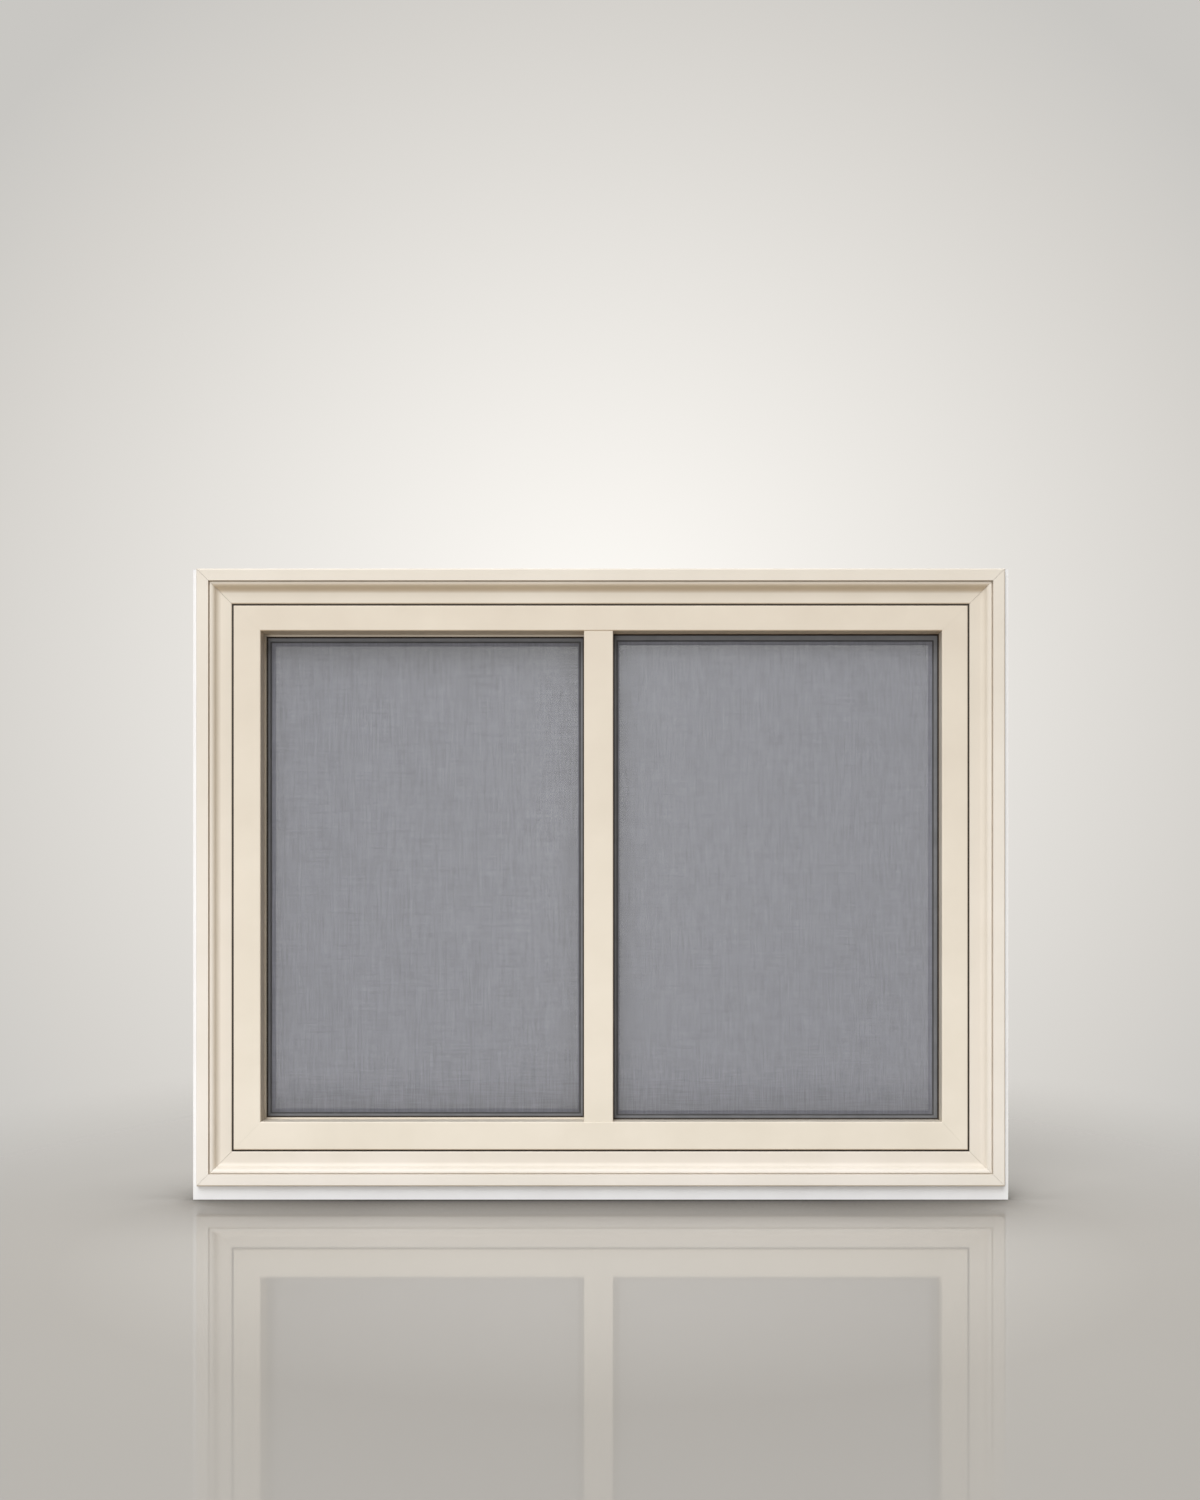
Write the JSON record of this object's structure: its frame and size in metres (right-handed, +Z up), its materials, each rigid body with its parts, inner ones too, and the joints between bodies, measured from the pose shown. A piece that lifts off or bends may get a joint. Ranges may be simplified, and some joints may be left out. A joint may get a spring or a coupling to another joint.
{
  "type": "storm window",
  "caption": "Storm window with a moulded cream casing, flat-faced track frame, centre mullion and grey insect screens in charcoal frames over storm panes, on a white wall flange.",
  "frame": {"origin": "middle of the mounting flange's lower edge, on the flange's back face, which meets the wall", "axes": "+X to the right as seen from outdoors, -Y is the front, +Y goes into the wall opening, +Z is up"},
  "size_m": [1.2356, 0.093, 0.96],
  "materials": {
    "cream_paint": "satin",
    "cream_pvc": "satin",
    "white_pvc": "satin",
    "charcoal_paint": "satin",
    "screen_mesh": "matte",
    "black_rubber": "matte",
    "brown_vinyl": "matte",
    "clear_glass": "gloss"
  },
  "bodies": {
    "root": {"flange_head": "white_pvc", "flange_sill": "white_pvc", "flange_left": "white_pvc", "flange_right": "white_pvc", "casing_head": "cream_pvc", "casing_sill": "cream_pvc", "casing_left": "cream_pvc", "casing_right": "cream_pvc", "weatherstrip": "brown_vinyl", "frame_head": "cream_paint", "frame_sill": "cream_paint", "frame_left": "cream_paint", "frame_right": "cream_paint", "centre_mullion": "cream_paint", "left_light_seal": "brown_vinyl", "right_light_seal": "brown_vinyl", "left_screen_top_rail": "charcoal_paint", "left_screen_bottom_rail": "charcoal_paint", "left_screen_left_stile": "charcoal_paint", "left_screen_right_stile": "charcoal_paint", "left_screen_mesh": "screen_mesh", "left_screen_spline": "black_rubber", "right_screen_top_rail": "charcoal_paint", "right_screen_bottom_rail": "charcoal_paint", "right_screen_left_stile": "charcoal_paint", "right_screen_right_stile": "charcoal_paint", "right_screen_mesh": "screen_mesh", "right_screen_spline": "black_rubber", "left_glass_top_rail": "charcoal_paint", "left_glass_bottom_rail": "charcoal_paint", "left_glass_left_stile": "charcoal_paint", "left_glass_right_stile": "charcoal_paint", "left_glass_pane": "clear_glass", "left_glass_gasket": "black_rubber", "right_glass_top_rail": "charcoal_paint", "right_glass_bottom_rail": "charcoal_paint", "right_glass_left_stile": "charcoal_paint", "right_glass_right_stile": "charcoal_paint", "right_glass_pane": "clear_glass", "right_glass_gasket": "black_rubber"}
  },
  "joints": []
}
